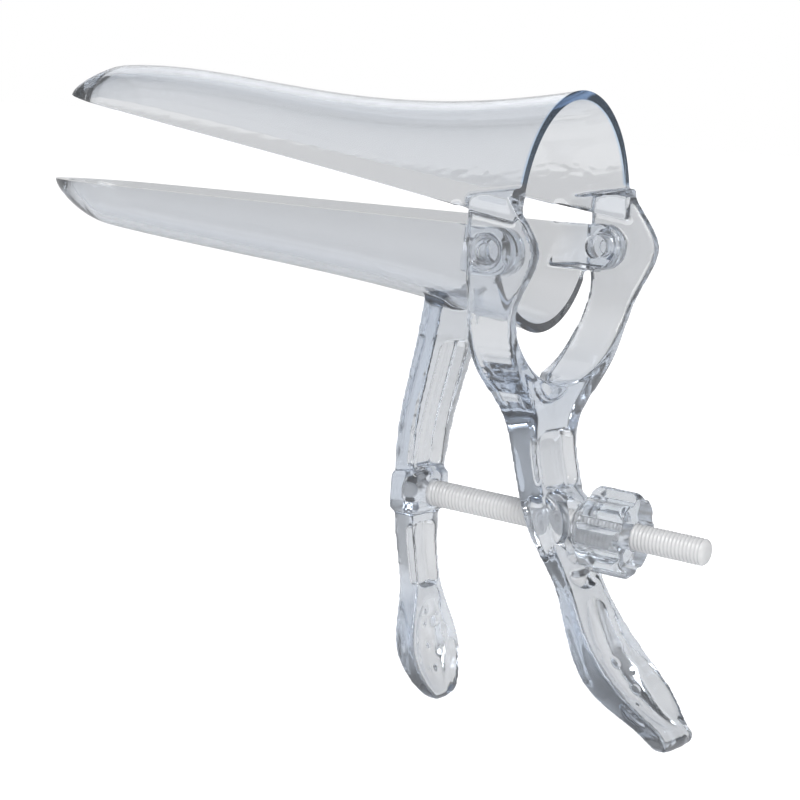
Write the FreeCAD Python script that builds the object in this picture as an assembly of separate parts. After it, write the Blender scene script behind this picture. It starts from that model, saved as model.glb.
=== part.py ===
import FreeCAD, Part

import math
import os

from FreeCAD import Placement, Rotation, Vector

# Bivalve speculum in clear plastic, in millimetres.
# The origin is the middle of the hinge axis, which lies along Y. The blades reach towards -X,
# the mouth and the handles face +X, and +Z is up. The pose is the photographed one, part open.

# Blades
blade_reach = 115.5        # hinge axis to the tip of the lower blade
upper_shortfall = 1.3      # how much sooner the upper blade ends
blade_wall = 1.7           # wall of both blades
nose_length = 15.5         # rounded end of each blade
nose_wall = 3.2            # wall at the very tip, along the blade
nose_half_width = 11.0     # half width where the nose begins
nose_depth = 8.8           # height of a blade where the nose begins
nose_fullness = 2.1        # exponent of the nose's side profile
tip_edge = 0.3             # height of the blunt edge at the tip
flare_start = 36.0         # distance from the hinge where the blades begin to widen
flare_half_width = 16.2
flare_depth = 14.3
lower_rim = 4.1            # height of the lower blade's rim above the hinge axis
rim_gap = 1.85             # between the two rims when they lie parallel
rest_opening = 7.85        # angle in degrees between the two rims in the photograph

# Mouths of the blades
lower_mouth_half_width = 19.0
lower_mouth_depth = 21.8
lower_mouth_setback = 1.4  # the lower mouth ends this far in front of the hinge axis
funnel_neck = 15.0         # distance in front of the axis where the upper funnel has its neck
funnel_neck_half_width = 18.9
funnel_neck_depth = 18.7
funnel_depth = 26.0        # height of the upper funnel where its loft ends
funnel_reach = 4.3         # the upper mouth ends this far behind the hinge axis
mouth_run = 8.0            # both lofts go this far behind the axis, then the mouths are trimmed

# Hinge
boss_radius = 4.4          # pivot bosses on the sides of the lower blade
boss_stand = 2.7           # how far they stand off the lower mouth's wall
boss_fairing = 4.5         # slope in front of each boss that runs into the wall
ear_gap = 0.2              # side play between a boss and an ear
ear_plate = 2.6            # thickness of the ears and of the yoke's arms
ear_bulge = 9.7            # how far the ears reach behind the hinge axis
ear_front = 3.8            # and in front of it
pin_radius = 2.3
pin_head_radius = 3.2
pin_head_height = 1.0
pin_dimple_radius = 1.5
pin_dimple_depth = 0.4
pin_play = 0.05            # radial running clearance in the ears
head_play = 0.1            # clearance round and under a pin's head

# Yoke and lever behind the lower blade
shoulder_height = 13.6     # where the shoulders leave the funnel's wall
shoulder_edge = 9.6        # height of the ears' upper corner
shoulder_run = 5.5         # length of the slope in front of each shoulder
shoulder_start = 1.8       # height of a shoulder at its front end
yoke_round_top = 6.0       # the yoke's opening starts to close this far below the axis
yoke_opening_drop = 24.2   # bottom of the opening below the axis
yoke_shoulder_drop = 31.5  # the arms have run together here
scoop_radius = 7.6         # hollow in the front of the yoke's bottom
scoop_drop = 19.6          # height of the hollow's axis below the hinge axis
scoop_back = 0.2           # the hollow goes back to this x
neck_half_width = 8.0
lever_waist_half_width = 6.7
thumb_half_width = 9.0
rib_width = 1.8            # ribs along the edges of the lever and of the handle
rib_height = 2.2
end_sag = 0.9              # how far the round ends reach below the ends of their two edges
lever_recess_top = 33.0    # top of the recess between the lever's ribs
lever_recess_land = 1.7    # left between that recess and the rod's slot
thumb_dish_at = (22.2, 73.3)        # x and drop of the hollow's middle
thumb_dish_slope = 41.0
thumb_dish_half_length = 12.6
thumb_dish_depth = 3.2
# Side view of the yoke and lever, as x and drop below the hinge axis
lever_front_edge = [(-3.3, 10.0), (-4.3, 21.0), (-3.4, 28.0), (-1.8, 34.0), (0.4, 42.0), (3.8, 51.0),
                    (8.9, 59.7), (12.6, 67.2), (17.0, 75.0), (24.5, 81.8), (31.2, 86.4)]
lever_back_edge = [(8.5, 4.0), (6.0, 9.6), (5.2, 16.0), (5.0, 25.0), (4.0, 33.0), (5.6, 42.0),
                   (8.3, 51.0), (12.4, 59.7), (17.9, 68.8), (25.0, 76.4), (33.6, 85.0)]
# Rear view of the yoke and lever, as half width and drop, from the arms' round to the bottom
yoke_outline = [(23.3, 12.0), (20.7, 17.5), (16.2, 22.8), (11.4, 27.0),
                (neck_half_width + 0.5, yoke_shoulder_drop)]
lever_outline = [(neck_half_width, 36.0), (neck_half_width, 44.0), (neck_half_width, 51.0),
                 (lever_waist_half_width + 0.3, 57.0), (lever_waist_half_width, 60.0),
                 (thumb_half_width - 1.2, 66.0), (thumb_half_width, 73.0), (thumb_half_width - 0.5, 79.0),
                 (thumb_half_width - 3.2, 84.3), (0.0, 87.0)]

# Front handle under the lower blade
handle_thickness = 4.0
handle_end_thickness = 2.6
handle_mid_half_width = 6.0
stem_half_width = 4.6
finger_half_width = 8.2
dish_rim = 1.3             # rim left round the hollow of each paddle
finger_dish_at = (-18.4, 77.0)
finger_dish_slope = 14.0
finger_dish_half_length = 8.6
finger_dish_depth = 2.2
handle_recess_top = 19.0            # top of the long recess between the ribs
stem_recess_bottom = 66.0           # bottom of the short one under the rod's seat
recess_land = 0.5                   # left between the long recess and the seat,
stem_recess_land = 2.0              # and between the seat and the short one
# Side view of the handle's front edge, as x and drop
handle_front_edge = [(-21.3, 9.5), (-22.3, 16.0), (-24.1, 25.0), (-26.1, 35.0), (-26.8, 46.0),
                     (-26.4, 57.0), (-24.4, 68.0), (-22.2, 77.5), (-18.2, 86.3)]
# Rear view, as half width and drop
handle_outline = [(8.4, 9.5), (8.0, 17.0), (7.6, 25.0), (handle_mid_half_width + 0.8, 36.0),
                  (handle_mid_half_width, 43.9), (stem_half_width, 57.0), (stem_half_width, 66.0),
                  (finger_half_width - 1.8, 71.0), (finger_half_width, 77.0),
                  (finger_half_width - 2.2, 83.5), (0.0, 87.2)]

# Threaded rod, its seat and the nut
rod_radius = 2.5
rod_tilt = 2.5             # degrees, the free end hangs lower
rod_seat_x = -26.2         # front end of the rod, in the handle
rod_seat_drop = 47.9       # depth of that end below the hinge axis
rod_length = 62.2
rod_end_round = 1.1
seat_half_width = 6.1      # thick part of the handle that holds the rod
seat_half_height = 4.0
seat_half_thickness = 3.2
seat_ahead = 1.6           # the seat's middle lies this far behind the rod's front end
seat_edge_radius = 1.3
slot_play = 0.6            # sideways clearance of the rod in the lever's slot
slot_rise = 2.8            # the slot reaches this far above the rod's front end and this far
slot_fall = 7.3            # below it, so that the lever swings from closed to wide open
pad_x = 4.0                # axis of the rounded pad that bears on the nut
pad_fall = 1.6             # that axis lies this far below the rod's front end
pad_radius = 6.0
pad_half_width = 6.6
nut_gap = 0.3              # between the pad and the nut
nut_play = 0.05            # radial clearance of the nut on the rod
nut_radius = 8.0
nut_length = 9.0           # lobed part
nut_hub_length = 2.3       # smooth hub that bears on the pad
nut_hub_radius = 4.3
nut_lobes = 8
nut_lobe_radius = 2.0
nut_core_radius = 6.7
nut_edge = 0.9             # chamfer at both ends of the nut
closing_swing = 8.6        # degrees from the photographed pose to closed blades

# Places that follow from the sizes above
upper_rim = lower_rim + rim_gap
ear_inner = lower_mouth_half_width + boss_stand + ear_gap
ear_outer = ear_inner + ear_plate
slot_top_drop = rod_seat_drop - slot_rise
slot_bottom_drop = rod_seat_drop + slot_fall
pad_drop = rod_seat_drop + pad_fall
far = 200.0                # longer than any part, for cutting and trimming


def spline(points):
    curve = Part.BSplineCurve()
    curve.interpolate([Vector(*p) for p in points])
    return curve.toShape()


def line(a, b):
    return Part.LineSegment(Vector(*a), Vector(*b)).toShape()


def prism(edges, way):
    # A closed outline pushed along a vector.
    return Part.Face(Part.Wire(edges)).extrude(way)


def trough_section(x, rim, half_width, depth, side, rise):
    # Half an ellipse across the blade, hung from the rim or standing on it, with straight walls
    # that run a little past the rim. side is -1 for the lower blade and 1 for the upper one.
    count = 8
    turns = [math.pi * i / count for i in range(count + 1)]
    points = [Vector(x, half_width * math.cos(t), rim + side * depth * math.sin(t)) for t in turns]
    pull = Vector(0, 0, side * depth * math.pi / count)
    curve = Part.BSplineCurve()
    curve.interpolate(Points=points, Parameters=[float(i) for i in range(count + 1)],
                      InitialTangent=pull, FinalTangent=pull * -1, Scale=False)
    past = Vector(0, 0, -side * rise)
    start, end = points[0], points[-1]
    return Part.Wire([curve.toShape(), line(end, end + past), line(end + past, start + past),
                      line(start + past, start)])


def blade_body(stations, rim, side, inset, length, rise):
    # The long taper from the mouth, and the rounded nose that keeps the same taper.
    long_part = [trough_section(x, rim, w - inset, d - inset, side, rise) for x, w, d in stations]
    (x1, w1, d1), (x0, w0, d0) = stations[-2:]
    nose = []
    for turn in (0.0, 22.0, 42.0, 60.0, 75.0, 86.0):
        run = length * math.sin(math.radians(turn))
        w = (w0 - inset - run * (w1 - w0) / (x1 - x0)) * math.cos(math.radians(turn))
        d = d0 - inset - tip_edge - run * (d1 - d0) / (x1 - x0)
        d = tip_edge + d * (1 - (run / length) ** nose_fullness)
        nose.append(trough_section(x0 - run, rim, w, d, side, rise))
    return Part.makeLoft(long_part, True, False, False, 3).fuse(Part.makeLoft(nose, True, False, False, 3))


def blade_shell(stations, rim, side):
    # A blade's thin wall, cut off level at the rim, and the hollow it encloses.
    outer = blade_body(stations, rim, side, 0.0, nose_length, 1.0)
    hollow = blade_body(stations, rim, side, blade_wall, nose_length - nose_wall, 3.0)
    low, high = (rim, far) if side < 0 else (-far, rim)
    return outer.cut(hollow).cut(block(-far, far, -far, far, low, high)), hollow


def long_taper(tip):
    # Stations shared by both blades, from the start of the flare to the nose.
    nose_start = tip + nose_length
    middle = (nose_start - flare_start) / 2
    return [
        (-flare_start, flare_half_width, flare_depth),
        (middle, (flare_half_width + nose_half_width) / 2, (flare_depth + nose_depth) / 2),
        (nose_start, nose_half_width, nose_depth),
    ]


def behind(x):
    # Everything behind a plane across the blades.
    return Part.makeBox(far, 2 * far, 2 * far, Vector(x, -far, -far))


def both_sides(shape):
    return [shape, shape.mirror(Vector(0, 0, 0), Vector(0, 1, 0))]


def across(radius, half_length, x, z):
    # Round bar along Y, centred on the plane of symmetry.
    return Part.makeCylinder(radius, 2 * half_length, Vector(x, -half_length, z), Vector(0, 1, 0))


def side_strip(front, back):
    # Side view of a handle pushed along Y. Both edges run from top to bottom as x and drop.
    front = [(x, -far, -drop) for x, drop in front]
    back = [(x, -far, -drop) for x, drop in back]
    lowest = min(front[-1][2], back[-1][2]) - end_sag
    turn = ((front[-1][0] + back[-1][0]) / 2, -far, lowest)
    outline = [spline(front), spline([front[-1], turn, back[-1]]), spline(back), line(front[0], back[0])]
    return prism(outline, Vector(0, 2 * far, 0))


def rear_view(points):
    # Half of a rear view, mirrored and pushed along X. The points run from top to bottom: first a
    # straight side, then a curve that leaves it smoothly and ends level on the centre line.
    sides = []
    for way in (1, -1):
        spots = [Vector(-far, way * half_width, -drop) for half_width, drop in points]
        curve = Part.BSplineCurve()
        curve.interpolate(Points=spots[1:], InitialTangent=spots[1] - spots[0],
                          FinalTangent=Vector(0, -way, 0))
        sides += [line(spots[0], spots[1]), curve.toShape()]
    half_top = points[0][0]
    sides.append(line((-far, -half_top, -points[0][1]), (-far, half_top, -points[0][1])))
    return prism(Part.sortEdges(sides)[0], Vector(2 * far, 0, 0))


def level_to_rest(shape):
    # Turns what is drawn with its rim level into the photographed opening.
    turned = shape.copy()
    turned.rotate(Vector(0, 0, 0), Vector(0, 1, 0), rest_opening)
    return turned


def block(x0, x1, y0, y1, z0, z1):
    return Part.makeBox(x1 - x0, y1 - y0, z1 - z0, Vector(x0, y0, z0))


def outline_x(points):
    # Straight-sided outline in the rear view, pushed along X.
    wire = Part.makePolygon([Vector(-far, y, z) for y, z in points + points[:1]])
    return Part.Face(wire).extrude(Vector(2 * far, 0, 0))


def outline_y(points):
    # Straight-sided outline in the side view, pushed along Y.
    wire = Part.makePolygon([Vector(x, -far, z) for x, z in points + points[:1]])
    return Part.Face(wire).extrude(Vector(0, 2 * far, 0))


def outline_z(points):
    # Straight-sided outline in the top view, pushed along Z.
    wire = Part.makePolygon([Vector(x, y, -far) for x, y in points + points[:1]])
    return Part.Face(wire).extrude(Vector(0, 0, 2 * far))


def stadium_x(half_width, top, bottom):
    # Upright slot shape with round ends, pushed along X.
    x = Vector(1, 0, 0)
    upper = Part.makeCylinder(half_width, 2 * far, Vector(-far, 0, top - half_width), x)
    lower = Part.makeCylinder(half_width, 2 * far, Vector(-far, 0, bottom + half_width), x)
    middle = block(-far, far, -half_width, half_width, bottom + half_width, top - half_width)
    return upper.fuse([lower, middle])


def channel(side, half_width, drops):
    # Recess of even depth in the rear face of a handle, between its two edge ribs.
    floor = side.translated(Vector(-rib_height, 0, 0))
    opening = block(-far, far, -half_width, half_width, -drops[1], -drops[0])
    opening = opening.makeFillet(half_width / 3, [e for e in opening.Edges if e.Length > far])
    return opening.common(side.cut(floor))


def dish(centre, slope, half_length, half_width, depth):
    # Hollow of a paddle: the belly of a barrel that lies along the paddle, above its face.
    along = (half_length ** 2 + depth ** 2) / (2 * depth)
    lift = (half_width ** 2 - depth ** 2) / (2 * depth)
    reach = 1.3 * half_length
    end = along - depth - math.sqrt(along ** 2 - reach ** 2)
    belly = Part.Arc(Vector(end, 0, -reach), Vector(-depth, 0, 0), Vector(end, 0, reach)).toShape()
    sides = [line((lift, 0, -reach), (end, 0, -reach)), belly, line((end, 0, reach), (lift, 0, reach)),
             line((lift, 0, reach), (lift, 0, -reach))]
    barrel = Part.Face(Part.Wire(sides)).revolve(Vector(lift, 0, 0), Vector(0, 0, 1), 360)
    barrel.rotate(Vector(0, 0, 0), Vector(0, 1, 0), -slope)
    return barrel.translated(Vector(centre[0], 0, -centre[1]))


# Blades with their hollows
lower_tip = -blade_reach
upper_tip = -(blade_reach - upper_shortfall)
lower_stations = [(mouth_run, lower_mouth_half_width, lower_mouth_depth)] + long_taper(lower_tip)
upper_stations = [
    (mouth_run, ear_inner, funnel_depth),
    (-funnel_neck, funnel_neck_half_width, funnel_neck_depth),
] + long_taper(upper_tip)

# The rod's line and the nut's place on it
rod_way = Vector(math.cos(math.radians(rod_tilt)), 0, -math.sin(math.radians(rod_tilt)))
rod_start = Vector(rod_seat_x, 0, -rod_seat_drop)
pad_axis = Vector(pad_x, 0, -pad_drop)
nut_front = (pad_axis - rod_start).dot(rod_way) + pad_radius + nut_gap


def pivot_boss():
    # Round lug on the side of the lower mouth, faired into the wall in front of it.
    outer = lower_mouth_half_width + boss_stand
    inner = lower_mouth_half_width - 3 * blade_wall
    lug = Part.makeCylinder(boss_radius, outer - inner, Vector(0, inner, 0), Vector(0, 1, 0))
    front = -boss_radius - boss_fairing
    plan = outline_z([(front, inner), (front, lower_mouth_half_width - blade_wall),
                      (-boss_radius, outer), (0, outer), (0, inner)])
    return lug.fuse(plan.common(block(-far, far, -far, far, -boss_radius, lower_rim)))


def pin_hole(radius):
    return Part.makeCylinder(radius, 2 * far, Vector(0, -far, 0), Vector(0, 1, 0))


def front_handle():
    end_x, end_drop = handle_front_edge[-1]
    back = [(x + handle_thickness, drop) for x, drop in handle_front_edge[:-1]]
    back.append((end_x + handle_end_thickness, end_drop - end_sag))
    side = side_strip(handle_front_edge, back)
    handle = side.common(rear_view(handle_outline))
    seat_top = rod_seat_drop - seat_half_height
    seat_bottom = rod_seat_drop + seat_half_height
    long_recess = channel(side, handle_mid_half_width - rib_width,
                          (handle_recess_top, seat_top - recess_land))
    short_recess = channel(side, stem_half_width + 0.4 - rib_width,
                           (seat_bottom + stem_recess_land, stem_recess_bottom))
    hollow = dish(finger_dish_at, finger_dish_slope, finger_dish_half_length,
                  finger_half_width - dish_rim, finger_dish_depth)
    return handle.cut([long_recess, short_recess, hollow])


def rod_seat():
    middle = rod_seat_x + seat_ahead
    body = block(middle - seat_half_thickness, middle + seat_half_thickness, -seat_half_width,
                 seat_half_width, -rod_seat_drop - seat_half_height, -rod_seat_drop + seat_half_height)
    return body.makeFillet(seat_edge_radius, body.Edges)


def lower_blade():
    shell, hollow = blade_shell(lower_stations, lower_rim, -1)
    shell = shell.cut(behind(-lower_mouth_setback))
    body = shell.fuse(both_sides(pivot_boss()) + [front_handle(), rod_seat()])
    body = body.cut([hollow, pin_hole(pin_radius)])
    return body.cut(Part.makeCylinder(rod_radius, far, rod_start, rod_way)).removeSplitter()


def shoulder():
    # Sloping web that joins the funnel's wall to the ear outside the lower blade.
    inner = lower_mouth_half_width - 2 * blade_wall
    edge = shoulder_edge + 0.5
    front = -ear_front - shoulder_run
    section = outline_x([(inner, upper_rim), (ear_outer, upper_rim), (ear_outer, edge),
                         (ear_inner - 0.9, shoulder_height), (inner, shoulder_height)])
    plan = outline_z([(front, inner), (front, lower_mouth_half_width), (-ear_front, ear_outer),
                      (mouth_run, ear_outer), (mouth_run, inner)])
    profile = outline_y([(front, upper_rim), (front, upper_rim + shoulder_start),
                         (mouth_run, shoulder_height), (mouth_run, upper_rim)])
    return section.common(plan).common(profile)


def nut_room(swing):
    # Space the front of the nut takes in the lever's back once the lever has swung that far shut.
    # Up to there the nut has run back along the rod by the pad's travel.
    up = Vector(0, 0, 1)
    lobed = nut_radius + nut_gap
    room = Part.makeCylinder(nut_hub_radius + nut_gap, nut_length)
    room = room.fuse([Part.makeCone(lobed - nut_edge, lobed, nut_edge, up * nut_hub_length),
                      Part.makeCylinder(lobed, nut_length, up * (nut_hub_length + nut_edge))])
    along = nut_front - nut_gap / 2 + pad_drop * math.radians(swing)
    room.Placement = Placement(rod_start + rod_way * along, Rotation(up, rod_way))
    room.rotate(Vector(0, 0, 0), Vector(0, 1, 0), swing)
    return room


def yoke_and_lever():
    front = [(-ear_front, -shoulder_edge), (-ear_front, 0.0)] + lever_front_edge
    back = [(boss_radius - 0.3, -shoulder_edge), (ear_bulge - 2.4, -5.3), (ear_bulge, -0.4)] + lever_back_edge
    side = side_strip(front, back)
    arms = [(ear_outer, -shoulder_edge), (ear_outer, yoke_round_top)]
    view = rear_view(arms + yoke_outline + lever_outline)
    opening_height = yoke_opening_drop - yoke_round_top
    bottom = Part.Face(trough_section(-far, -yoke_round_top, ear_inner, opening_height, -1, 1.0))
    bottom = bottom.extrude(Vector(2 * far, 0, 0))
    opening = bottom.fuse(block(-far, far, -ear_inner, ear_inner, -yoke_round_top, far))
    body = side.common(view).cut(opening)
    pad = across(pad_radius, pad_half_width, pad_x, -pad_drop)
    body = body.fuse(pad.common(side.fuse(side.translated(Vector(pad_x, 0, 0)))))
    scoop = Part.makeCylinder(scoop_radius, far, Vector(scoop_back - far, 0, -scoop_drop), Vector(1, 0, 0))
    ribs = channel(side, neck_half_width - rib_width,
                   (lever_recess_top, slot_top_drop - lever_recess_land))
    hollow = dish(thumb_dish_at, thumb_dish_slope, thumb_dish_half_length,
                  thumb_half_width - dish_rim, thumb_dish_depth)
    slot = stadium_x(rod_radius + slot_play, -slot_top_drop, -slot_bottom_drop)
    rooms = [nut_room(closing_swing / 2), nut_room(closing_swing)]
    return body.cut([scoop, ribs, hollow, slot] + rooms)


def upper_blade():
    shell, hollow = blade_shell(upper_stations, upper_rim, 1)
    body = level_to_rest(shell.fuse(both_sides(shoulder())))
    body = body.cut(behind(funnel_reach)).fuse(yoke_and_lever())
    body = body.cut([level_to_rest(hollow), pin_hole(pin_radius + pin_play)])
    seat = Part.makeCylinder(pin_head_radius + head_play, far,
                             Vector(0, ear_outer - pin_head_height - head_play, 0), Vector(0, 1, 0))
    return body.cut(both_sides(seat))


def hinge_pin():
    # Headed pin, pressed into the boss, its head sunk into the ear.
    way = Vector(0, 1, 0)
    inner = lower_mouth_half_width - 1.2 * blade_wall
    shank = Part.makeCylinder(pin_radius, ear_outer - inner, Vector(0, inner, 0), way)
    head = Part.makeCylinder(pin_head_radius, pin_head_height, Vector(0, ear_outer - pin_head_height, 0), way)
    dimple = Part.makeCylinder(pin_dimple_radius, far, Vector(0, ear_outer - pin_dimple_depth, 0), way)
    return shank.fuse(head).cut(dimple).removeSplitter()


def threaded_rod():
    rod = Part.makeCylinder(rod_radius, rod_length, rod_start, rod_way)
    end = max(rod.Edges, key=lambda e: e.CenterOfMass.x)
    return rod.makeFillet(rod_end_round, [end])


def knob_nut():
    # Round core with finger lobes, chamfered at both ends, behind a smooth hub on the rod.
    up = Vector(0, 0, 1)
    lobe = Part.makeCylinder(nut_lobe_radius, nut_length, Vector(nut_radius - nut_lobe_radius, 0, 0), up)
    lobes = [lobe.rotated(Vector(0, 0, 0), up, 360.0 * i / nut_lobes) for i in range(nut_lobes)]
    body = Part.makeCylinder(nut_core_radius, nut_length).fuse(lobes)
    envelope = Part.makeCylinder(nut_radius, nut_length)
    body = body.common(envelope.makeChamfer(nut_edge, [e for e in envelope.Edges if e.Closed]))
    body = body.translated(up * nut_hub_length)
    body = body.fuse(Part.makeCylinder(nut_hub_radius, nut_hub_length + nut_edge))
    bore = Part.makeCylinder(rod_radius + nut_play, nut_hub_length + nut_length)
    body = body.cut(bore).removeSplitter()
    body.Placement = Placement(rod_start + rod_way * nut_front, Rotation(up, rod_way))
    return body


def write(name, shape):
    shape.exportStep("parts/" + name + ".step")
    print(name, "solids", len(shape.Solids), "valid", shape.isValid(), "volume", round(shape.Volume, 1))


os.makedirs("parts", exist_ok=True)
write("lower_blade", lower_blade())
write("upper_blade", upper_blade())
write("hinge_pins", Part.makeCompound(both_sides(hinge_pin())))
write("threaded_rod", threaded_rod())
write("knob_nut", knob_nut())
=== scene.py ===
import bpy
import math
from mathutils import Matrix, Vector


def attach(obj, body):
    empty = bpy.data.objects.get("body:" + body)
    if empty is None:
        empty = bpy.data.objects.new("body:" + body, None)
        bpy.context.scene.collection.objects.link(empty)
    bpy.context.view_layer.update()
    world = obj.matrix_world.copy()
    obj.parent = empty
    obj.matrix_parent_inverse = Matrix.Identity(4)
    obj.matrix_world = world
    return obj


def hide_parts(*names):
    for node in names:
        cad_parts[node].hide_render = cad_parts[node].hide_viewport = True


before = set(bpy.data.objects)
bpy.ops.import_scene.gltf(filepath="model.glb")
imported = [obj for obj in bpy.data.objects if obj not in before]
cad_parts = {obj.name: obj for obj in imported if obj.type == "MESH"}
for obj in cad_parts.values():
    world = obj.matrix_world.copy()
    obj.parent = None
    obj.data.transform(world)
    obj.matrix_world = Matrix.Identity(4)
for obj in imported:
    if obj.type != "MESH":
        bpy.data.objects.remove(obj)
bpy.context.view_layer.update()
bpy.ops.object.select_all(action="DESELECT")

# the photograph's camera: its place in metres, the ways it points, and its lens
viewValues = {
    "place": (0.214313, -0.394716, 0.027731),
    "right": (0.843448, 0.532833, 0.068447),
    "up": (-0.125240, 0.071131, 0.989573),
    "forward": (-0.522409, 0.843226, -0.126727),
    "lens": 110.9,
}
lightValues = {
    "horizon": 0.86,      # brightness of the panels, as the plastic sees them
    "ceiling": 0.34,      # brightness overhead, which draws the dark edges in the plastic
    "panels": 0.32,       # how much dimmer it is between the four white panels round the table
    "panelTurn": 2.126,   # the middle of one panel, as an angle round the table
    "floorGlow": 0.45,    # the floor as the plastic sees it; the camera sees it white
    "keyPower": 5.0,
    "rimPower": 0.5,
}


def makeCamera(values):
    data = bpy.data.cameras.new("photoCamera")
    data.lens = values["lens"]
    data.sensor_width = 36.0
    data.clip_start = 0.01
    data.clip_end = 20.0
    camera = bpy.data.objects.new("photoCamera", data)
    bpy.context.scene.collection.objects.link(camera)
    across = Vector(values["right"])
    upward = Vector(values["up"])
    back = -Vector(values["forward"])
    turn = Matrix((across, upward, back)).transposed().to_4x4()
    camera.matrix_world = Matrix.Translation(Vector(values["place"])) @ turn
    bpy.context.scene.camera = camera


class Val:
    # a socket's value, so that shader maths reads as plain expressions
    def __init__(self, tree, link):
        self.tree = tree
        self.link = link

    def make(self, kind, settings=None, inputs=None, out=0):
        made = self.tree.nodes.new(kind)
        for name, value in (settings or {}).items():
            setattr(made, name, value)
        for name, value in (inputs or {}).items():
            if isinstance(value, Val):
                self.tree.links.new(value.link, made.inputs[name])
            else:
                made.inputs[name].default_value = value
        return Val(self.tree, made.outputs[out])

    def maths(self, what, a, b):
        return self.make("ShaderNodeMath", {"operation": what}, {0: a, 1: b})

    def __add__(self, other):
        return self.maths("ADD", self, other)

    def __radd__(self, other):
        return self.maths("ADD", other, self)

    def __sub__(self, other):
        return self.maths("SUBTRACT", self, other)

    def __rsub__(self, other):
        return self.maths("SUBTRACT", other, self)

    def __mul__(self, other):
        return self.maths("MULTIPLY", self, other)

    def __rmul__(self, other):
        return self.maths("MULTIPLY", other, self)

    def __pow__(self, other):
        return self.maths("POWER", self, other)


# each finish's second colour is painted shade: a darker colour mixed in where the plastic is seen at a
# grazing angle, its width setting how narrow that painted band of shade is
clearValues = {
    "body": {"tint": (0.972, 0.978, 0.988), "edge": (0.50, 0.57, 0.68), "edgeWidth": 3.0,
             "rough": 0.05, "haze": 0.05, "grain": 0.012, "depthTint": (0.55, 0.68, 0.85), "depth": 45.0},
    "rod": {"tint": (0.975, 0.978, 0.985), "edge": (0.80, 0.82, 0.86), "edgeWidth": 2.5,
            "rough": 0.2, "haze": 0.70, "grain": 0.03, "depthTint": (0.75, 0.80, 0.88), "depth": 10.0},
    "nut": {"tint": (0.972, 0.978, 0.988), "edge": (0.55, 0.62, 0.72), "edgeWidth": 3.0,
            "rough": 0.07, "haze": 0.06, "grain": 0.012, "depthTint": (0.60, 0.72, 0.86), "depth": 30.0},
}
rimValues = {"tint": (0.45, 0.66, 0.95), "upperFrom": 0.0036, "upperTo": 0.0043, "above": 0.0115}


def clearPlastic(name, values, blueRim=False):
    material = bpy.data.materials.new(name)
    material.use_nodes = True
    tree = material.node_tree
    tree.nodes.clear()
    start = Val(tree, None)
    place = start.make("ShaderNodeTexCoord", out="Object")
    cloud = start.make("ShaderNodeTexNoise", None, {"Vector": place, "Scale": 60.0, "Detail": 3.0})
    facing = start.make("ShaderNodeLayerWeight", None, {"Blend": 0.5}, out="Facing")
    # painted shade: the colour darkens towards the grazing edges, with a little random tone from the noise
    edge = (facing ** values["edgeWidth"]) * 0.9 + (cloud - 0.5) * 0.10
    colour = start.make("ShaderNodeMix", {"data_type": "RGBA", "clamp_factor": True}, {
        "Factor": edge, 6: values["tint"] + (1.0,), 7: values["edge"] + (1.0,)}, out=2)
    if blueRim:
        # the cut edge of the funnel's mouth, where the wall is seen end on
        x = start.make("ShaderNodeSeparateXYZ", None, {"Vector": place}, out="X")
        z = start.make("ShaderNodeSeparateXYZ", None, {"Vector": place}, out="Z")
        behind = start.make("ShaderNodeMapRange", {"interpolation_type": "SMOOTHSTEP"}, {
            "Value": x, "From Min": rimValues["upperFrom"], "From Max": rimValues["upperTo"]})
        above = start.make("ShaderNodeMapRange", {"interpolation_type": "SMOOTHSTEP"}, {
            "Value": z, "From Min": rimValues["above"], "From Max": rimValues["above"] + 0.001})
        colour = start.make("ShaderNodeMix", {"data_type": "RGBA"}, {
            "Factor": behind * above, 6: colour, 7: rimValues["tint"] + (1.0,)}, out=2)
    rough = values["rough"] + cloud * values["grain"]
    bump = start.make("ShaderNodeBump", None, {
        "Height": cloud, "Strength": 0.05, "Distance": 0.0003}, out="Normal")
    shader = tree.nodes.new("ShaderNodeBsdfPrincipled")
    tree.links.new(colour.link, shader.inputs["Base Color"])
    tree.links.new(rough.link, shader.inputs["Roughness"])
    tree.links.new(bump.link, shader.inputs["Normal"])
    shader.inputs["IOR"].default_value = 1.5
    shader.inputs["Transmission Weight"].default_value = 1.0 - values["haze"]
    out = tree.nodes.new("ShaderNodeOutputMaterial")
    tree.links.new(shader.outputs["BSDF"], out.inputs["Surface"])
    inside = start.make("ShaderNodeVolumeAbsorption", None, {
        "Color": values["depthTint"] + (1.0,), "Density": values["depth"]})
    tree.links.new(inside.link, out.inputs["Volume"])
    return material


def makeWorld(values):
    world = bpy.data.worlds.new("studio")
    bpy.context.scene.world = world
    world.use_nodes = True
    tree = world.node_tree
    tree.nodes.clear()
    start = Val(tree, None)
    way = start.make("ShaderNodeTexCoord", out="Generated")
    x, y, z = [start.make("ShaderNodeSeparateXYZ", None, {"Vector": way}, out=axis) for axis in "XYZ"]
    turn = y.maths("ARCTAN2", y, x) - values["panelTurn"]
    panel = values["horizon"] - values["panels"] * (1.0 - (turn * 4.0).maths("COSINE", turn * 4.0, 0.0))
    rise = start.make("ShaderNodeMapRange", {"interpolation_type": "SMOOTHSTEP"}, {
        "Value": z, "From Min": 0.2, "From Max": 0.62, "To Min": 1.0, "To Max": values["ceiling"]})
    seen = start.make("ShaderNodeLightPath", out="Is Camera Ray")
    light = start.make("ShaderNodeMath", {"operation": "MAXIMUM"}, {0: panel * rise, 1: seen})
    sky = start.make("ShaderNodeBackground", None, {"Color": light, "Strength": 1.0})
    out = tree.nodes.new("ShaderNodeOutputWorld")
    tree.links.new(sky.link, out.inputs["Surface"])


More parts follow.
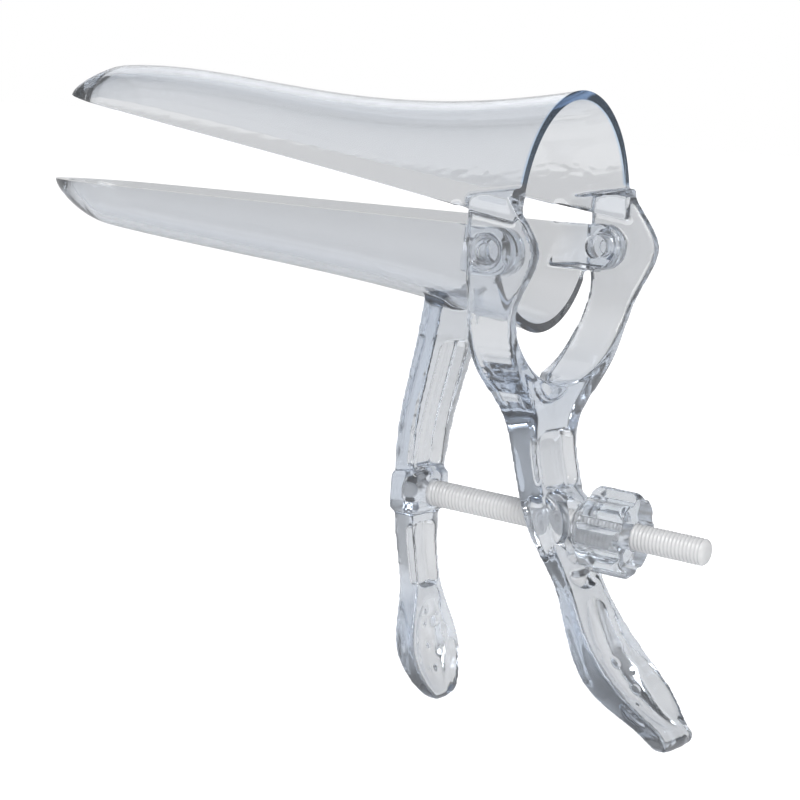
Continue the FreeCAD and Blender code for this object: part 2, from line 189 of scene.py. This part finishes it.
def softbox(name, place, size, power):
    data = bpy.data.lights.new(name, "AREA")
    data.shape = "SQUARE"
    data.size = size
    data.energy = power
    lamp = bpy.data.objects.new(name, data)
    bpy.context.scene.collection.objects.link(lamp)
    lamp.location = place
    lamp.rotation_euler = (Vector((-0.03, 0.0, -0.02)) - Vector(place)).to_track_quat("-Z", "Y").to_euler()


def makeFloor():
    bpy.ops.mesh.primitive_circle_add(vertices=64, radius=6.0, fill_type="NGON", location=(0, 0, -0.0885))
    floor = bpy.context.object
    floor.name = "floor"
    material = bpy.data.materials.new("paleFloor")
    material.use_nodes = True
    tree = material.node_tree
    shader = tree.nodes["Principled BSDF"]
    start = Val(tree, None)
    grain = start.make("ShaderNodeTexNoise", None, {"Scale": 40.0})
    rough = 0.6 + grain * 0.1
    tree.links.new(rough.link, shader.inputs["Roughness"])
    shader.inputs["Base Color"].default_value = (0.55, 0.555, 0.565, 1.0)
    shader.inputs["Emission Strength"].default_value = 1.0
    seen = start.make("ShaderNodeLightPath", out="Is Camera Ray")
    glow = lightValues["floorGlow"] + seen * (1.0 - lightValues["floorGlow"])
    tree.links.new(glow.link, shader.inputs["Emission Color"])
    floor.data.materials.append(material)
    bpy.ops.object.transform_apply(location=True, rotation=True, scale=True)


makeCamera(viewValues)
makeWorld(lightValues)
softbox("keyLight", (0.35, -0.5, 0.6), 0.5, lightValues["keyPower"])
softbox("rimLight", (-0.5, 0.5, 0.5), 0.5, lightValues["rimPower"])
makeFloor()
bpy.context.scene.view_settings.view_transform = "Standard"
print("camera, light and floor")

materials = {
    "lower_blade": clearPlastic("clearBlade", clearValues["body"]),
    "upper_blade": clearPlastic("clearFunnel", clearValues["body"], True),
    "hinge_pins": clearPlastic("clearPin", clearValues["body"]),
    "threaded_rod": clearPlastic("clearRod", clearValues["rod"]),
    "knob_nut": clearPlastic("clearNut", clearValues["nut"]),
}
for name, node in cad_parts.items():
    for place in node.material_slots:
        place.material = materials[name]
print("materials")


def only(piece):
    bpy.ops.object.select_all(action="DESELECT")
    piece.select_set(True)
    bpy.context.view_layer.objects.active = piece


# small raised dots in the hollows of the paddles, as steps across and along each hollow, in mm
fingerDots = {
    "middle": (-18.4, -77.0), "slope": 14.0, "size": (2.2, 6.9, 8.6), "dot": 0.85,
    "at": [(-0.8, 6.9), (-0.6, 4.5), (2.7, 4.4), (5.0, 2.4), (-4.7, 1.7), (0.5, 0.0), (-4.6, -2.1),
           (1.3, -4.6), (-1.5, -4.9), (3.6, -1.6)],
}
thumbDots = {
    "middle": (22.2, -73.3), "slope": 41.0, "size": (3.2, 7.7, 12.6), "dot": 0.95,
    "at": [(4.4, 4.7), (1.6, 1.8), (2.3, -4.2), (-3.0, 4.2), (-3.4, -1.4), (-1.2, -7.0), (4.6, -0.6)],
}


def addDots(values):
    # one ball for each dot, sunk past its middle into the floor of the hollow
    made = []
    turn = math.radians(values["slope"])
    depth = Vector((math.cos(turn), 0.0, math.sin(turn)))
    along = Vector((-math.sin(turn), 0.0, math.cos(turn)))
    middle = Vector((values["middle"][0], 0.0, values["middle"][1]))
    deep, wide, long = values["size"]
    bend = (long ** 2 + deep ** 2) / (2 * deep)
    lift = (wide ** 2 - deep ** 2) / (2 * deep)
    for across, run in values["at"]:
        belly = lift + deep - bend + math.sqrt(bend ** 2 - run ** 2)
        sink = math.sqrt(belly ** 2 - across ** 2) - lift
        spot = middle + along * run + Vector((0.0, across, 0.0)) - depth * (sink + values["dot"] * 0.35)
        bpy.ops.mesh.primitive_uv_sphere_add(segments=20, ring_count=12, radius=values["dot"] * 0.001,
                                             location=spot * 0.001)
        bpy.ops.object.transform_apply(location=True, rotation=True, scale=True)
        made.append(bpy.context.object)
    return made


# how far a flat end is drawn out before the skin is made, how deep below the crisp edge the cut reaches
# back, and how far past it loose wall is taken off, in mm
endValues = {"longer": 8.0, "trim": 0.02, "back": 1.5, "past": 10.0}


def inside(spot, low, high):
    return all(low[i] <= spot[i] * 1000 <= high[i] for i in range(3))


def chooseFaces(piece, test):
    # selects the faces that pass the test, and nothing else
    for spot in piece.data.vertices:
        spot.select = False
    for side in piece.data.edges:
        side.select = False
    for face in piece.data.polygons:
        face.select = test(face)


def lengthenEnd(piece, end):
    # carries a thin wall on past its flat end, to be cut off again once the skin is smooth
    way = Vector(end["faces"])
    chooseFaces(piece, lambda face: True)
    bpy.ops.object.mode_set(mode="EDIT")
    bpy.ops.mesh.bisect(plane_co=Vector(end["border"]) * 0.001, plane_no=end["borderFaces"], threshold=1e-7)
    bpy.ops.object.mode_set(mode="OBJECT")
    chooseFaces(piece, lambda face: face.normal.dot(way) > 0.99 and inside(face.center, *end["from"])
                and abs(face.center.dot(way) * 1000 - end["at"]) < 0.05)
    bpy.ops.object.mode_set(mode="EDIT")
    bpy.ops.mesh.select_mode(type="FACE")
    bpy.ops.mesh.extrude_region_move(TRANSFORM_OT_translate={"value": way * endValues["longer"] * 0.001})
    bpy.ops.object.mode_set(mode="OBJECT")


def cutEnd(piece, end):
    # trims the wall back to its flat end, which leaves a straight crisp edge
    way = Vector(end["faces"])
    level = (end["at"] - endValues["trim"]) * 0.001
    chooseFaces(piece, lambda face: inside(face.center, *end["cut"])
                and -endValues["back"] < (face.center.dot(way) - level) * 1000 < endValues["past"])
    bpy.ops.object.mode_set(mode="EDIT")
    bpy.ops.mesh.select_mode(type="FACE")
    bpy.ops.mesh.bisect(plane_co=way * level, plane_no=way, threshold=1e-7)
    bpy.ops.object.mode_set(mode="OBJECT")
    chooseFaces(piece, lambda face: inside(face.center, *end["cut"])
                and face.center.dot(way) > level + 1e-7)
    bpy.ops.object.mode_set(mode="EDIT")
    bpy.ops.mesh.delete(type="FACE")
    bpy.ops.mesh.select_mode(type="EDGE")
    bpy.ops.mesh.select_all(action="DESELECT")
    bpy.ops.mesh.select_non_manifold(extend=False, use_wire=False, use_boundary=True,
                                     use_multi_face=False, use_non_contiguous=False, use_verts=False)
    bpy.ops.mesh.mark_sharp()
    bpy.ops.mesh.edge_face_add()
    bpy.ops.mesh.select_all(action="SELECT")
    bpy.ops.mesh.dissolve_degenerate(threshold=1e-6)
    bpy.ops.mesh.normals_make_consistent(inside=False)
    bpy.ops.object.mode_set(mode="OBJECT")


def sizeAt(x, stations, which):
    # the smooth curve through the stations' sizes
    total = 0.0
    for here in stations:
        share = here[which]
        for other in stations:
            if other is not here:
                share *= (x - other[0]) / (here[0] - other[0])
        total += share
    return total


# the sheets' faces along and across, the share of the width that the half ellipse takes, the straight
# run past the rim in mm, the rounds that smooth the nose, and the width over which the pressing fades in
mouldValues = {"along": 240, "across": 150, "curved": 0.75, "straight": 30.0, "noseRounds": 25, "fade": 5.0}


def wallMould(blade):
    # both faces of a blade's wall as fine sheets, half an ellipse across, with straight sides past the rim
    first, last = blade["reach"]
    sheets = []
    for inset in (0.0, blade["wall"]):
        bpy.ops.mesh.primitive_grid_add(x_subdivisions=mouldValues["along"],
                                        y_subdivisions=mouldValues["across"], size=2.0)
        sheet = bpy.context.object
        sizes = {}
        for spot in sheet.data.vertices:
            x = first + (last - first) * (spot.co.x + 1) / 2
            if x not in sizes:
                sizes[x] = [sizeAt(x, blade["stations"], which) - inset for which in (1, 2)]
            halfWidth, depth = sizes[x]
            part = spot.co.y / mouldValues["curved"]
            if abs(part) < 1:
                y = halfWidth * math.sin(part * math.pi / 2)
                z = blade["rim"] + blade["side"] * depth * math.cos(part * math.pi / 2)
            else:
                y = math.copysign(halfWidth, part)
                z = blade["rim"] - blade["side"] * (abs(part) - 1) * mouldValues["straight"]
            spot.co = Vector((x, y, z)) * 0.001
        sheets.append(sheet)
    only(sheets[0])
    sheets[1].select_set(True)
    bpy.ops.object.join()
    sheets[0].data.transform(Matrix.Rotation(blade["raised"], 4, "Y"))
    return sheets[0]


def wallShare(spot, blade):
    # how fully a vertex is pressed onto the mould: the inner face wholly, the rest fading in at the ends
    if inside(spot.co, *blade["inner"]) and spot.normal.y * spot.co.y < 0:
        return 1.0
    depth = max(min(min(spot.co[i] * 1000 - low[i], high[i] - spot.co[i] * 1000) for i in range(3))
                for low, high in blade["walls"])
    return max(0.0, min(1.0, depth / mouldValues["fade"]))


def pressWalls(piece, blade):
    # the nose is smoothed, and the blade's wall is pressed onto its own curves
    noseEnd = blade["reach"][0] + 4
    nose = piece.vertex_groups.new(name="nose")
    nose.add([spot.index for spot in piece.data.vertices if spot.co.x * 1000 < noseEnd], 1.0, "REPLACE")
    walls = piece.vertex_groups.new(name="walls")
    for spot in piece.data.vertices:
        share = wallShare(spot, blade)
        if share > 0:
            walls.add([spot.index], share, "REPLACE")
    polish = piece.modifiers.new("polish", "SMOOTH")
    polish.factor = 0.5
    polish.iterations = mouldValues["noseRounds"]
    polish.vertex_group = "nose"
    bpy.ops.object.modifier_apply(modifier="polish")
    sheets = wallMould(blade)
    only(piece)
    press = piece.modifiers.new("press", "SHRINKWRAP")
    press.target = sheets
    press.vertex_group = "walls"
    bpy.ops.object.modifier_apply(modifier="press")
    bpy.data.objects.remove(sheets)


def smoothCopy(nodeName, pieceName, values):
    # the CAD node's own form as one skin of small even faces, its corners a little rounded
    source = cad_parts[nodeName]
    piece = source.copy()
    piece.data = source.data.copy()
    piece.name = pieceName
    piece.parent = None
    bpy.context.scene.collection.objects.link(piece)
    only(piece)
    bpy.ops.object.mode_set(mode="EDIT")
    bpy.ops.mesh.select_all(action="SELECT")
    bpy.ops.mesh.remove_doubles(threshold=0.000002)
    bpy.ops.object.mode_set(mode="OBJECT")
    if "dots" in values:
        extra = addDots(values["dots"])
        only(piece)
        for dot in extra:
            dot.select_set(True)
        bpy.ops.object.join()
    for end in values.get("ends", []):
        lengthenEnd(piece, end)
    mould = piece.copy()
    mould.data = piece.data.copy()
    bpy.context.scene.collection.objects.link(mould)
    skin = piece.modifiers.new("skin", "REMESH")
    skin.mode = "VOXEL"
    skin.voxel_size = values["grain"]
    bpy.ops.object.modifier_apply(modifier="skin")
    settle = piece.modifiers.new("settle", "SHRINKWRAP")
    settle.target = mould
    bpy.ops.object.modifier_apply(modifier="settle")
    bpy.data.objects.remove(mould)
    relax = piece.modifiers.new("relax", "SMOOTH")
    relax.factor = 0.5
    relax.iterations = values["rounds"]
    bpy.ops.object.modifier_apply(modifier="relax")
    if "blade" in values:
        pressWalls(piece, values["blade"])
    bpy.ops.object.shade_smooth()
    for end in values.get("ends", []):
        cutEnd(piece, end)
    print(pieceName, len(piece.data.polygons), "faces")
    return piece


# flat ends of the blades' walls, as the way each faces and its distance from the hinge axis in mm,
# where the free end starts, and the boxes that hold the end and the cut. The upper blade is raised.
raised = math.radians(7.85)
lowerRim = {"faces": (0, 0, 1), "at": 4.1, "border": (-9.8, 0, 0), "borderFaces": (1, 0, 0),
            "from": ((-130, -30, -5), (-9.8, 30, 9)), "cut": ((-130, -30, -5), (-9.4, 30, 15))}
lowerMouth = {"faces": (1, 0, 0), "at": -1.4, "border": (0, 0, -6), "borderFaces": (0, 0, 1),
              "from": ((-5, -30, -30), (5, 30, -6)), "cut": ((-5, -30, -30), (10, 30, -5.4))}
upperRim = {"faces": (-math.sin(raised), 0, -math.cos(raised)), "at": -5.95,
            "border": (-10.2, 0, 0), "borderFaces": (1, 0, 0),
            "from": ((-130, -30, 0), (-10.2, 30, 40)), "cut": ((-130, -30, -8), (-9.8, 30, 40))}
upperMouth = {"faces": (1, 0, 0), "at": 4.3, "border": (0, 0, 10.3), "borderFaces": (0, 0, 1),
              "from": ((0, -30, 10.3), (8, 30, 40)), "cut": ((0, -30, 9.9), (15, 30, 40))}
# the blades' walls: stations as x, half width and depth from the rim, and the stretch that they cover
lowerWall = {"stations": [(8.0, 19.0, 21.8), (-36.0, 16.2, 14.3), (-68.0, 13.6, 11.55),
                          (-100.0, 11.0, 8.8)],
             "rim": 4.1, "side": -1, "raised": 0.0, "wall": 1.7, "reach": (-104, 12),
             "walls": [((-103, -40, -40), (-27, 40, 40)), ((-103, -40, -9), (-11, 40, 40)),
                       ((-16, -40, -40), (20, 40, -6))],
             "inner": ((-16, -18.5, -40), (20, 18.5, 15))}
upperWall = {"stations": [(8.0, 21.9, 26.0), (-15.0, 18.9, 18.7), (-36.0, 16.2, 14.3),
                          (-67.35, 13.6, 11.55), (-98.7, 11.0, 8.8)],
             "rim": 5.95, "side": 1, "raised": raised, "wall": 1.7, "reach": (-104, 14),
             "walls": [((-103, -40, -20), (-12, 40, 60)), ((-14, -40, 15), (20, 40, 60))],
             "inner": ((-16, -20.6, 5.5), (20, 20.6, 60))}
skinValues = {
    "lower_blade": {"piece": "lowerBladeSkin", "grain": 0.00042, "rounds": 5, "body": "frame",
                    "slot": "clear_body", "dots": fingerDots, "ends": [lowerRim, lowerMouth],
                    "blade": lowerWall},
    "upper_blade": {"piece": "upperBladeSkin", "grain": 0.00048, "rounds": 5, "body": "lever",
                    "slot": "clear_body", "dots": thumbDots, "ends": [upperRim, upperMouth],
                    "blade": upperWall},
    "hinge_pins": {"piece": "hingePinSkin", "grain": 0.00016, "rounds": 4, "body": "frame",
                   "slot": "clear_pin"},
    "knob_nut": {"piece": "knobNutSkin", "grain": 0.00018, "rounds": 8, "body": "nut", "slot": "clear_nut"},
}
for name, values in skinValues.items():
    piece = smoothCopy(name, values["piece"], values)
    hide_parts(name)
    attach(piece, values["body"])
print("moulded pieces")

# the rod in mm: its line, its thread, the plain stub in the seat and the free end. The outline gives
# one pitch of the thread as shares of the pitch and of the ridge's height.
rodValues = {
    "start": (-26.2, 0.0, -47.9), "tilt": 2.5, "length": 62.2,
    "core": 2.27, "crest": 2.5, "pitch": 0.75, "steps": 40,
    "outline": [(0.0, 0.0), (0.22, 0.0), (0.5, 1.0), (0.66, 1.0), (0.94, 0.0), (1.0, 0.0)],
    "stub": 5.2, "stubRadius": 2.4, "endRound": 1.1, "endSteps": (0.3, 0.6, 0.85, 1.0, 1.1),
}


def screwThread(values, low, turns):
    # one pitch of the outline is drawn point by point from a single vertex, then screwed along Z
    ridge = values["crest"] - values["core"]
    points = [Vector((values["core"] + ridge * height, 0.0, low + values["pitch"] * along)) * 0.001
              for along, height in values["outline"]]
    bpy.ops.mesh.primitive_plane_add(size=0.001)
    rod = bpy.context.object
    only(rod)
    bpy.ops.object.mode_set(mode="EDIT")
    bpy.ops.mesh.select_mode(type="VERT")
    bpy.ops.mesh.select_all(action="SELECT")
    bpy.ops.mesh.merge(type="CENTER")
    bpy.ops.transform.translate(value=points[0])
    for last, here in zip(points, points[1:]):
        bpy.ops.mesh.extrude_vertices_move(TRANSFORM_OT_translate={"value": here - last})
    bpy.ops.object.mode_set(mode="OBJECT")
    screw = rod.modifiers.new("screw", "SCREW")
    screw.steps = values["steps"]
    screw.render_steps = values["steps"]
    screw.screw_offset = values["pitch"] * 0.001
    screw.iterations = turns
    bpy.ops.object.modifier_apply(modifier="screw")
    return rod


def drawOut(rod, level, rings):
    # the flat cap at this level is drawn out into circles, each given as its level and radius in mm
    chooseFaces(rod, lambda face: abs(face.normal.z) > 0.99 and abs(face.center.z * 1000 - level) < 0.01)
    cap = {spot for face in rod.data.polygons if face.select for spot in face.vertices}
    radius = sum(rod.data.vertices[spot].co.xy.length for spot in cap) / len(cap) * 1000
    bpy.ops.object.mode_set(mode="EDIT")
    bpy.ops.mesh.select_mode(type="FACE")
    for height, wanted in rings:
        middle = (0.0, 0.0, height * 0.001)
        rise = (0.0, 0.0, (height - level) * 0.001)
        bpy.ops.mesh.extrude_region_move(TRANSFORM_OT_translate={"value": rise})
        bpy.ops.transform.tosphere(value=1.0, center_override=middle)
        bpy.ops.transform.resize(value=(wanted / radius, wanted / radius, 1.0), center_override=middle)
        level = height
        radius = wanted
    bpy.ops.object.mode_set(mode="OBJECT")


def makeRod(values):
    # the thread is cut flat where the stub and the rounded end begin, and both are drawn out of the cuts
    stub = values["stub"]
    full = values["length"] - values["endRound"]
    low = stub - values["pitch"] * 1.3
    rod = screwThread(values, low, int((full - low) / values["pitch"]) + 1)
    rod.name = "threadedRodSkin"
    bpy.ops.object.mode_set(mode="EDIT")
    bpy.ops.mesh.select_all(action="SELECT")
    bpy.ops.mesh.remove_doubles(threshold=0.000003)
    for level, below in ((stub, True), (full, False)):
        bpy.ops.mesh.select_all(action="SELECT")
        bpy.ops.mesh.bisect(plane_co=(0.0, 0.0, level * 0.001), plane_no=(0.0, 0.0, 1.0), use_fill=True,
                            clear_inner=below, clear_outer=not below, threshold=1e-7)
    bpy.ops.object.mode_set(mode="OBJECT")
    wide = values["stubRadius"]
    drawOut(rod, stub, [(stub - 0.2, wide), (0.3, wide), (0.0, wide - 0.3)])
    bend = values["endRound"]
    drawOut(rod, full, [(full + rise, values["crest"] - bend + math.sqrt(bend ** 2 - rise ** 2))
                        for rise in values["endSteps"]])
    bpy.ops.object.mode_set(mode="EDIT")
    bpy.ops.mesh.select_all(action="SELECT")
    bpy.ops.mesh.normals_make_consistent(inside=False)
    bpy.ops.object.mode_set(mode="OBJECT")
    lay = Matrix.Rotation(math.radians(90.0 + values["tilt"]), 4, "Y")
    rod.matrix_world = Matrix.Translation(Vector(values["start"]) * 0.001) @ lay
    bpy.ops.object.transform_apply(location=True, rotation=True, scale=True)
    bpy.ops.object.shade_smooth_by_angle(angle=math.radians(50.0))
    rod.data.materials.append(materials["threaded_rod"])
    print(rod.name, len(rod.data.polygons), "faces")
    return rod


rod = makeRod(rodValues)
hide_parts("threaded_rod")
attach(rod, "frame")
print("threaded rod")
